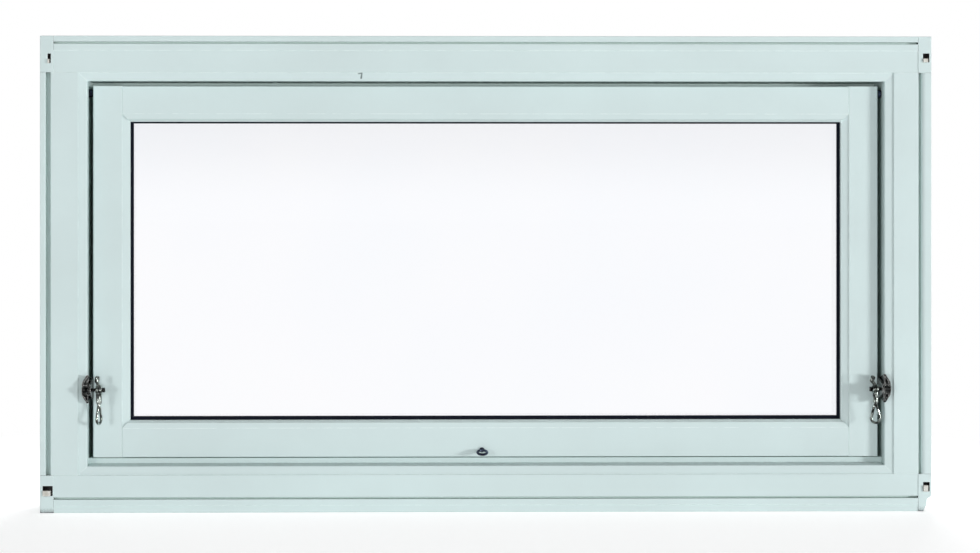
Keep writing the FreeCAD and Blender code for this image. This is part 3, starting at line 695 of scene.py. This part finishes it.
DARK_STEEL = SteelFinish(
    "dark_steel",
    coat=linear(102, 104, 103),
    tarnish=linear(12, 12, 12),
    bright=linear(250, 252, 250),
    smooth=0.14,
    dull=0.3,
    spots=200.0,
    # Near-white, barely metallic edges: painted highlight lines on the dark hardware.
    edge=0.0011,
    edge_metallic=0.15,
)
BLUED_STEEL = SteelFinish(
    "blued_steel",
    coat=linear(84, 92, 114),
    tarnish=linear(36, 38, 52),
    bright=linear(158, 166, 180),
    smooth=0.24,
    dull=0.44,
)
BRIGHT_STEEL = SteelFinish(
    "bright_steel",
    coat=linear(236, 236, 230),
    tarnish=linear(204, 202, 192),
    bright=linear(248, 248, 244),
    smooth=0.3,
    dull=0.5,
    occlusion_shade=linear(196, 192, 184),
    metallic=0.3,
    edge_metallic=0.3,
)


class Paintbox:
    """Makes each finish's material once and puts it on pieces."""

    def __init__(self, nodes: dict[str, bpy.types.Object]) -> None:
        """Start with no material made.

        Args:
            nodes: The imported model's nodes by name.
        """
        self.nodes = nodes
        self.effects = Effects()
        self.made: dict[str, bpy.types.Material] = {}

    def material(self, finish: Finish) -> bpy.types.Material:
        """Make a finish's material, or take the one that was made before.

        Args:
            finish: The finish.

        Returns:
            The material.
        """
        if finish.name not in self.made:
            self.made[finish.name] = finish.make(self.effects)
        return self.made[finish.name]

    def dress(self, finish: Finish, names: Iterable[str]) -> None:
        """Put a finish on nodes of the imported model.

        Args:
            finish: The finish.
            names: The nodes' names.
        """
        material = self.material(finish)
        for name in names:
            piece = self.nodes[name]
            piece.data.materials.clear()
            piece.data.materials.append(material)
            LOG.info("%s is dressed in %s", name, finish.name)


@dataclass
class OuterFrame:
    """Head, sill, jambs, corner blocks, beads and seals."""

    paintbox: Paintbox

    def dress(self) -> None:
        """Paint the timber along each member and blacken the seals."""
        sideways = ["frame_sill", "inner_bead_bottom"]
        upright = ["frame_jamb_left", "frame_jamb_right", "inner_bead_left", "inner_bead_right"]
        blocks = [f"corner_block_{level}_{side.value}" for level in ("top", "bottom") for side in Side]
        self.paintbox.dress(PAINT_NICKED, ["frame_head", "inner_bead_top"])
        self.paintbox.dress(PAINT_SIDEWAYS, sideways)
        self.paintbox.dress(PAINT_UPRIGHT, upright)
        self.paintbox.dress(PAINT_BLOCK, blocks)
        self.paintbox.dress(RUBBER, [f"weather_seal_{edge}" for edge in ("left", "right", "top", "bottom")])
        self.paintbox.dress(BRIGHT_STEEL, ["corner_clips"])


@dataclass
class Sash:
    """Rails, stiles, glazing beads, gaskets, panes and the pivots it hangs on."""

    paintbox: Paintbox

    def dress(self) -> None:
        """Paint the timber, blacken the gaskets and glaze."""
        sideways = ["sash_top_rail", "sash_bottom_rail", "glazing_bead_top", "glazing_bead_bottom"]
        upright = ["sash_stile_left", "sash_stile_right", "glazing_bead_left", "glazing_bead_right"]
        self.paintbox.dress(PAINT_SIDEWAYS, sideways)
        self.paintbox.dress(PAINT_UPRIGHT, upright)
        self.paintbox.dress(RUBBER, ["glazing_gasket_room", "glazing_gasket_weather"])
        self.paintbox.dress(GLASS, ["glass_pane_room", "glass_pane_weather"])
        self.paintbox.dress(SPACER, ["glass_spacer"])
        self.paintbox.dress(BLUED_STEEL, ["pivot_left", "pivot_right", "screw_eye"])


@dataclass
class ScrewHeads:
    """Round headed screws with a cross recess, made by Geometry Nodes on points."""

    radius: float = 0.0021
    dome: float = 0.0006
    recess_length: float = 0.0024
    recess_width: float = 0.0005
    recess_depth: float = 0.0006
    segments: int = 24
    rings: int = 12
    sharp_angle: float = math.radians(40.0)

    def tree(self, material: bpy.types.Material) -> bpy.types.NodeTree:
        """Build the node tree that puts a screw head on each point.

        Args:
            material: The screws' material.

        Returns:
            The tree, with inputs Radius, Dome, Recess Length, Recess Width and Recess Depth.
        """
        tree = bpy.data.node_groups.new("screw_heads", "GeometryNodeTree")
        tree.interface.new_socket(name="Geometry", in_out="INPUT", socket_type="NodeSocketGeometry")
        for label in ("Radius", "Dome", "Recess Length", "Recess Width", "Recess Depth"):
            tree.interface.new_socket(name=label, in_out="INPUT", socket_type="NodeSocketFloat")
        tree.interface.new_socket(name="Geometry", in_out="OUTPUT", socket_type="NodeSocketGeometry")
        wiring = Wiring(tree)
        given = wiring.add("NodeGroupInput").outputs
        ball = wiring.add(
            "GeometryNodeMeshUVSphere", Segments=self.segments, Rings=self.rings, Radius=1.0
        )
        head_size = wiring.add(
            "ShaderNodeCombineXYZ", X=given["Radius"], Y=given["Radius"], Z=given["Dome"]
        )
        head = wiring.add(
            "GeometryNodeTransform", Geometry=ball.outputs["Mesh"], Scale=head_size.outputs["Vector"]
        )
        cutters = []
        for first, second in (("Recess Length", "Recess Width"), ("Recess Width", "Recess Length")):
            size = wiring.add("ShaderNodeCombineXYZ", X=given[first], Y=given[second])
            wiring.feed(size.inputs["Z"], wiring.maths("MULTIPLY", given["Recess Depth"], 2.0))
            bar = wiring.add("GeometryNodeMeshCube", Size=size.outputs["Vector"])
            lift = wiring.add("ShaderNodeCombineXYZ", Z=given["Dome"])
            cutters.append(
                wiring.add(
                    "GeometryNodeTransform",
                    Geometry=bar.outputs["Mesh"],
                    Translation=lift.outputs["Vector"],
                )
            )
        recess = wiring.add("GeometryNodeMeshBoolean", settings={"operation": "DIFFERENCE"})
        wiring.feed(recess.inputs["Mesh 1"], head.outputs["Geometry"])
        for cutter in cutters:
            wiring.feed(recess.inputs["Mesh 2"], cutter.outputs["Geometry"])
        facing = wiring.add(
            "GeometryNodeInputNamedAttribute", settings={"data_type": "FLOAT_VECTOR"}, Name="facing"
        )
        turn = wiring.add(
            "FunctionNodeAlignRotationToVector",
            settings={"axis": "Z"},
            Vector=facing.outputs["Attribute"],
        )
        placed = wiring.add(
            "GeometryNodeInstanceOnPoints",
            Points=given["Geometry"],
            Instance=recess.outputs["Mesh"],
            Rotation=turn.outputs["Rotation"],
        )
        real = wiring.add("GeometryNodeRealizeInstances", Geometry=placed.outputs["Instances"])
        dressed = wiring.add(
            "GeometryNodeSetMaterial", Geometry=real.outputs["Geometry"], Material=material
        )
        leaving = wiring.add("NodeGroupOutput")
        wiring.feed(leaving.inputs["Geometry"], dressed.outputs["Geometry"])
        return tree

    def build(
        self, name: str, spots: Sequence[tuple[Vector, Vector]], material: bpy.types.Material
    ) -> bpy.types.Object:
        """Make one mesh of screw heads.

        Args:
            name: The piece's name.
            spots: Place and facing of each screw.
            material: The screws' material.

        Returns:
            The piece, as a plain mesh.
        """
        points = bpy.data.meshes.new(name + "_points")
        points.from_pydata([tuple(place) for place, _ in spots], [], [])
        attribute = points.attributes.new("facing", "FLOAT_VECTOR", "POINT")
        for item, (_, facing) in zip(attribute.data, spots):
            item.vector = facing
        carrier = bpy.data.objects.new(name + "_points", points)
        bpy.context.scene.collection.objects.link(carrier)
        modifier = carrier.modifiers.new("screw_heads", "NODES")
        tree = self.tree(material)
        modifier.node_group = tree
        sizes = {
            "Radius": self.radius,
            "Dome": self.dome,
            "Recess Length": self.recess_length,
            "Recess Width": self.recess_width,
            "Recess Depth": self.recess_depth,
        }
        for item in tree.interface.items_tree:
            if item.in_out == "INPUT" and item.name in sizes:
                modifier[item.identifier] = sizes[item.name]
        graph = bpy.context.evaluated_depsgraph_get()
        mesh = bpy.data.meshes.new_from_object(carrier.evaluated_get(graph))
        mesh.name = name
        piece = bpy.data.objects.new(name, mesh)
        bpy.context.scene.collection.objects.link(piece)
        bpy.data.objects.remove(carrier)
        for face in mesh.polygons:
            face.use_smooth = True
        mesh.set_sharp_from_angle(angle=self.sharp_angle)
        return piece


@dataclass
class Catch:
    """One side's keeper, bracket, pin and snap hook."""

    paintbox: Paintbox
    side: Side
    screw_inset: float = 0.0055

    def dress(self) -> None:
        """Blacken the keeper, its bracket and the pin, and leave the snap hook brighter."""
        dull = ("keeper", "catch_bracket", "catch_pin")
        bright = ("snap_hook", "snap_trigger", "snap_eye")
        self.paintbox.dress(DARK_STEEL, [f"{name}_{self.side.value}" for name in dull])
        self.paintbox.dress(WORN_STEEL, [f"{name}_{self.side.value}" for name in bright])

    def build(self) -> bpy.types.Object:
        """Screw the bracket to the stile's edge.

        Returns:
            The screws.
        """
        low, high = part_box(f"catch_bracket_{self.side.value}")
        face = low.x if self.side is Side.LEFT else high.x
        facing = Vector((self.side.outward, 0.0, 0.0))
        back = high.y - self.screw_inset
        heights = (low.z + self.screw_inset, high.z - self.screw_inset)
        spots = [(Vector((face, back, height)), facing) for height in heights]
        piece = ScrewHeads().build(
            f"bracket_screws_{self.side.value}", spots, self.paintbox.material(DARK_STEEL)
        )
        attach(piece, "window")
        LOG.info("%s has %d faces", piece.name, len(piece.data.polygons))
        return piece


@dataclass(frozen=True)
class Lamp:
    """A soft lamp that looks at the middle of the window.

    Attributes:
        name: The lamp's name.
        turn: Degrees that it stands to the right of straight in front.
        rise: Degrees that it hangs above the middle.
        distance: Metres from the middle.
        width: Metres from its left to its right side.
        power: Watts.
        mirrored: Whether it shows in metal and through glass.
        height: Metres from its lower to its upper side.
    """

    name: str
    turn: float
    rise: float
    distance: float
    width: float
    power: float
    mirrored: bool = True
    height: float = 0.4

    def hang(self, middle: Vector) -> None:
        """Hang the lamp.

        Args:
            middle: The point that it looks at.
        """
        data = bpy.data.lights.new(self.name, "AREA")
        data.shape = "RECTANGLE"
        data.size = self.width
        data.size_y = self.height
        data.energy = self.power
        lamp = bpy.data.objects.new(self.name, data)
        lamp.visible_glossy = self.mirrored
        lamp.visible_transmission = self.mirrored
        bpy.context.scene.collection.objects.link(lamp)
        turn = math.radians(self.turn)
        rise = math.radians(self.rise)
        level = math.cos(rise)
        away = Vector((math.sin(turn) * level, -math.cos(turn) * level, math.sin(rise)))
        lamp.location = middle + away * self.distance
        lamp.rotation_euler = (-away).to_track_quat("-Z", "Y").to_euler()


LAMPS = (
    Lamp("key_right", turn=56.0, rise=1.0, distance=5.0, width=0.9, power=133.0),
    Lamp("key_left", turn=-36.0, rise=1.0, distance=3.0, width=0.4, power=17.0),
    Lamp("fill_front", turn=4.0, rise=0.5, distance=3.0, width=1.4, power=16.0, mirrored=False),
    Lamp("fill_back", turn=170.0, rise=35.0, distance=3.0, width=1.4, power=52.0, mirrored=False),
)


@dataclass
class Studio:
    """Floor, lights, surroundings and camera.

    Metal mirrors a room in front that is bright below the horizon and darker above it, dark sides
    and a white back. What is seen past the window or through its glass is white, or nearly so.
    The horizon and the edges of front and back are parts of a unit vector.
    """

    floor_size: float = 60.0
    floor_grey: float = 0.82
    floor_glow: float = 0.62
    shadow_reach: float = 1.0
    sheen_near: float = 0.25
    sheen_far: float = 0.1
    sheen_reach: tuple[float, float] = (0.3, 0.9)
    ambient: float = 0.25
    room_low: float = 0.95
    room_top: float = 0.3
    horizon: tuple[float, float] = (-0.005, 0.03)
    front_edge: tuple[float, float] = (-0.8, -0.95)
    back_edge: tuple[float, float] = (0.1, 0.5)
    dark_sides: float = 0.12
    front_plane: float = -0.042
    camera_distance: float = 2.6
    camera_height: float = 0.315
    camera_side: float = -0.13
    picture_middle: tuple[float, float] = (0.00285, 0.2352)
    yaw: float = math.radians(1.0)
    sensor: float = 36.0
    picture_width: float = 0.9768

    def build(self) -> None:
        """Set up the studio."""
        self._floor()
        self._surroundings()
        for lamp in LAMPS:
            lamp.hang(Vector((0.0, self.front_plane, self.picture_middle[1])))
        self._camera()

    def _floor(self) -> None:
        """Lay the floor."""
        half = self.floor_size / 2
        mesh = bpy.data.meshes.new("floor")
        mesh.from_pydata(
            [(-half, -half, 0.0), (half, -half, 0.0), (half, half, 0.0), (-half, half, 0.0)],
            [],
            [(0, 1, 2, 3)],
        )
        mesh.materials.append(self._floor_material())
        floor = bpy.data.objects.new("floor", mesh)
        bpy.context.scene.collection.objects.link(floor)

    def _floor_material(self) -> bpy.types.Material:
        """White paper that keeps the shadows near the window, and a faint sheen that lights it from below.

        Returns:
            The floor's material.
        """
        material = bpy.data.materials.new("floor_white")
        material.use_nodes = True
        material.node_tree.nodes.clear()
        wiring = Wiring(material.node_tree)
        grey = self.floor_grey
        paper = wiring.add("ShaderNodeBsdfDiffuse", Color=(grey, grey, grey, 1.0)).outputs[0]
        glow = wiring.add("ShaderNodeEmission", Strength=self.floor_glow).outputs[0]
        lit = wiring.add("ShaderNodeAddShader")
        wiring.feed(lit.inputs[0], paper)
        wiring.feed(lit.inputs[1], glow)
        place = wiring.add("ShaderNodeTexCoord").outputs["Object"]
        direction = wiring.vector("NORMALIZE", place)
        away = wiring.vector("LENGTH", place, out="Value")
        white = wiring.add("ShaderNodeEmission", Strength=self._mirrored(wiring, direction)).outputs[0]
        far = wiring.ramp(away, self.shadow_reach / 2, self.shadow_reach)
        glossy = wiring.add("ShaderNodeLightPath").outputs["Is Glossy Ray"]
        fading = wiring.add("ShaderNodeMixShader", Fac=wiring.maths("MAXIMUM", far, glossy))
        wiring.feed(fading.inputs[1], lit.outputs[0])
        wiring.feed(fading.inputs[2], white)
        strength = wiring.ramp(away, *self.sheen_reach, self.sheen_near, self.sheen_far)
        sheen = wiring.add("ShaderNodeEmission", Strength=strength).outputs[0]
        bounce = wiring.add("ShaderNodeAddShader")
        wiring.feed(bounce.inputs[0], paper)
        wiring.feed(bounce.inputs[1], sheen)
        choice = wiring.add("ShaderNodeMixShader", Fac=self._seen(wiring))
        wiring.feed(choice.inputs[1], bounce.outputs[0])
        wiring.feed(choice.inputs[2], fading.outputs[0])
        wiring.add("ShaderNodeOutputMaterial", Surface=choice.outputs[0])
        return material

    @staticmethod
    def _seen(wiring: Wiring) -> bpy.types.NodeSocket:
        """Tell rays that are seen from those that only carry light.

        Args:
            wiring: The tree to add to.

        Returns:
            Socket with 1 for rays from the eye, a mirror or glass, and 0 for the rest.
        """
        path = wiring.add("ShaderNodeLightPath")
        eye = wiring.maths("MAXIMUM", path.outputs["Is Camera Ray"], path.outputs["Is Glossy Ray"])
        return wiring.maths("MAXIMUM", eye, path.outputs["Is Transmission Ray"])

    def _mirrored(self, wiring: Wiring, direction: bpy.types.NodeSocket) -> bpy.types.NodeSocket:
        """How much of the white a ray finds: metal finds a pale room in front and dark sides.

        Args:
            wiring: The tree to add to.
            direction: Socket with the unit vector from the window.

        Returns:
            Socket with the share from 0 to 1.
        """
        parts = wiring.add("ShaderNodeSeparateXYZ", Vector=direction).outputs
        room = wiring.ramp(parts["Z"], *self.horizon, self.room_low, self.room_top)
        ahead = wiring.ramp(parts["Y"], *self.front_edge)
        behind = wiring.ramp(parts["Y"], *self.back_edge)
        path = wiring.add("ShaderNodeLightPath").outputs
        side = wiring.ramp(path["Transmission Depth"], 0.0, 1.0, self.dark_sides, self.room_low)
        in_front = wiring.maths("MULTIPLY", ahead, wiring.maths("SUBTRACT", room, side))
        level = wiring.maths("MAXIMUM", wiring.maths("ADD", in_front, side), behind)
        lost = wiring.maths("SUBTRACT", level, 1.0)
        return wiring.maths("MULTIPLY_ADD", path["Is Glossy Ray"], lost, 1.0)

    def _surroundings(self) -> None:
        """White all round for the eye, and a plain level of light from everywhere."""
        world = bpy.data.worlds.new("surroundings")
        bpy.context.scene.world = world
        world.use_nodes = True
        world.node_tree.nodes.clear()
        wiring = Wiring(world.node_tree)
        strength = wiring.ramp(self._seen(wiring), 0.0, 1.0, self.ambient, 1.0)
        direction = wiring.add("ShaderNodeTexCoord").outputs["Generated"]
        strength = wiring.maths("MULTIPLY", strength, self._mirrored(wiring, direction))
        background = wiring.add("ShaderNodeBackground", Color=(1.0, 1.0, 1.0, 1.0), Strength=strength)
        wiring.add("ShaderNodeOutputWorld", Surface=background.outputs[0])

    def _camera(self) -> None:
        """Put the camera in front of the window, a little to the left, with level sight.

        The lens is shifted so that the picture's middle stays on the window's middle.
        """
        data = bpy.data.cameras.new("camera")
        data.sensor_fit = "HORIZONTAL"
        data.sensor_width = self.sensor
        data.lens = self.sensor * self.camera_distance / self.picture_width
        sideways = self.picture_middle[0] - self.camera_side
        data.shift_x = (sideways - math.tan(self.yaw) * self.camera_distance) / self.picture_width
        data.shift_y = (self.picture_middle[1] - self.camera_height) / self.picture_width
        camera = bpy.data.objects.new("camera", data)
        bpy.context.scene.collection.objects.link(camera)
        camera.location = (self.camera_side, self.front_plane - self.camera_distance, self.camera_height)
        camera.rotation_euler = Euler((math.pi / 2, 0.0, -self.yaw))
        bpy.context.scene.camera = camera
        bpy.context.scene.view_settings.view_transform = "Standard"


def main() -> None:
    """Dress the window, add its small fasteners and set up the studio."""
    logging.basicConfig(level=logging.INFO, format="%(message)s")
    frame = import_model()
    paintbox = Paintbox(frame["nodes"])
    OuterFrame(paintbox).dress()
    Sash(paintbox).dress()
    for side in Side:
        catch = Catch(paintbox, side)
        catch.dress()
        catch.build()
    Studio().build()


if __name__ == "__main__":
    main()
